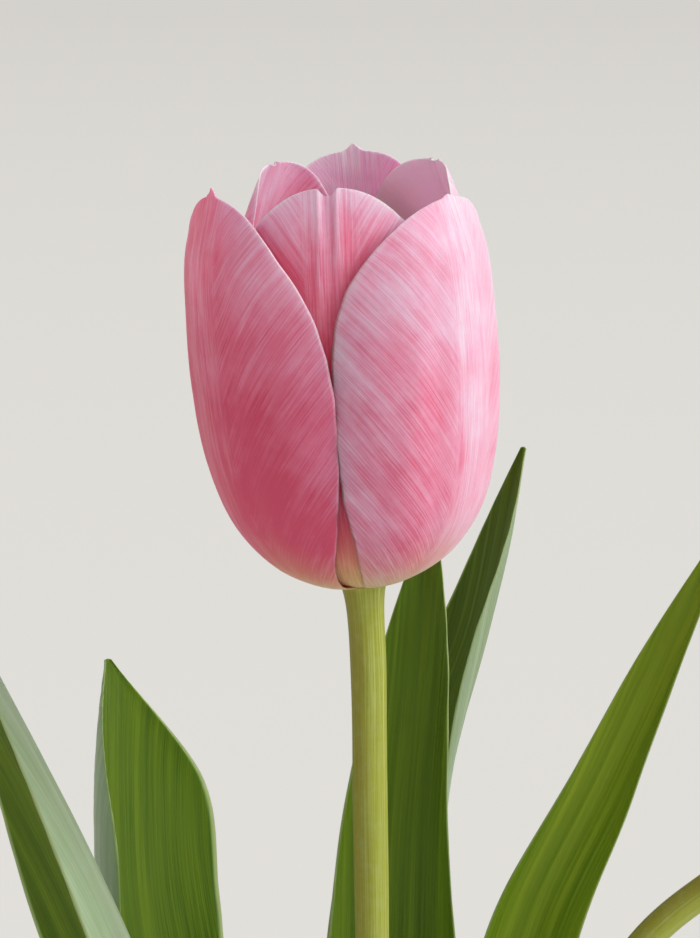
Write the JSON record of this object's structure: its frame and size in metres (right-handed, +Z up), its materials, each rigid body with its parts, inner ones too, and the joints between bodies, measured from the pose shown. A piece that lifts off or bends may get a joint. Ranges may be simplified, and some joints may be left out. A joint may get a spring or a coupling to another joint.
{
  "type": "tulips in a vase",
  "caption": "Cut tulips with cupped pink blooms, green stems and channelled leaves, standing in water in a round-bellied glazed vase.",
  "frame": {"origin": "centre of the vase's flat foot, on the surface it stands on", "axes": "+Z up along the vase's axis, -Y towards the side the fullest bloom faces, +X to the right seen from there"},
  "size_m": [0.2742, 0.1234, 0.372],
  "materials": {
    "petal_outer": "soft satin",
    "petal_inner": "soft satin",
    "leaf": "waxy satin",
    "stem": "waxy satin",
    "pistil": "matte",
    "stamen": "powdery matte",
    "glaze": "gloss",
    "water": "clear"
  },
  "bodies": {
    "root": {"vase": "glaze", "stem_middle": "stem", "stem_right": "stem", "stem_left": "stem", "water": "water", "leaf_middle_right": "leaf", "leaf_middle_back": "leaf", "leaf_left_broad": "leaf", "leaf_left_leaning": "leaf", "leaf_right_leaning": "leaf", "leaf_right_drooping": "leaf", "petal_middle_outer_left": "petal_outer", "petal_middle_outer_right": "petal_outer", "petal_middle_outer_back": "petal_outer", "petal_middle_inner_front": "petal_inner", "petal_middle_inner_left": "petal_inner", "petal_middle_inner_right": "petal_inner", "pistil_middle": "pistil", "stamen_middle_1": "stamen", "stamen_middle_2": "stamen", "stamen_middle_3": "stamen", "stamen_middle_4": "stamen", "stamen_middle_5": "stamen", "stamen_middle_6": "stamen", "petal_right_outer_left": "petal_outer", "petal_right_outer_right": "petal_outer", "petal_right_outer_back": "petal_outer", "petal_right_inner_front": "petal_inner", "petal_right_inner_left": "petal_inner", "petal_right_inner_right": "petal_inner", "pistil_right": "pistil", "stamen_right_1": "stamen", "stamen_right_2": "stamen", "stamen_right_3": "stamen", "stamen_right_4": "stamen", "stamen_right_5": "stamen", "stamen_right_6": "stamen", "petal_left_outer_left": "petal_outer", "petal_left_outer_right": "petal_outer", "petal_left_outer_back": "petal_outer", "petal_left_inner_front": "petal_inner", "petal_left_inner_left": "petal_inner", "petal_left_inner_right": "petal_inner", "pistil_left": "pistil", "stamen_left_1": "stamen", "stamen_left_2": "stamen", "stamen_left_3": "stamen", "stamen_left_4": "stamen", "stamen_left_5": "stamen", "stamen_left_6": "stamen"}
  },
  "joints": []
}
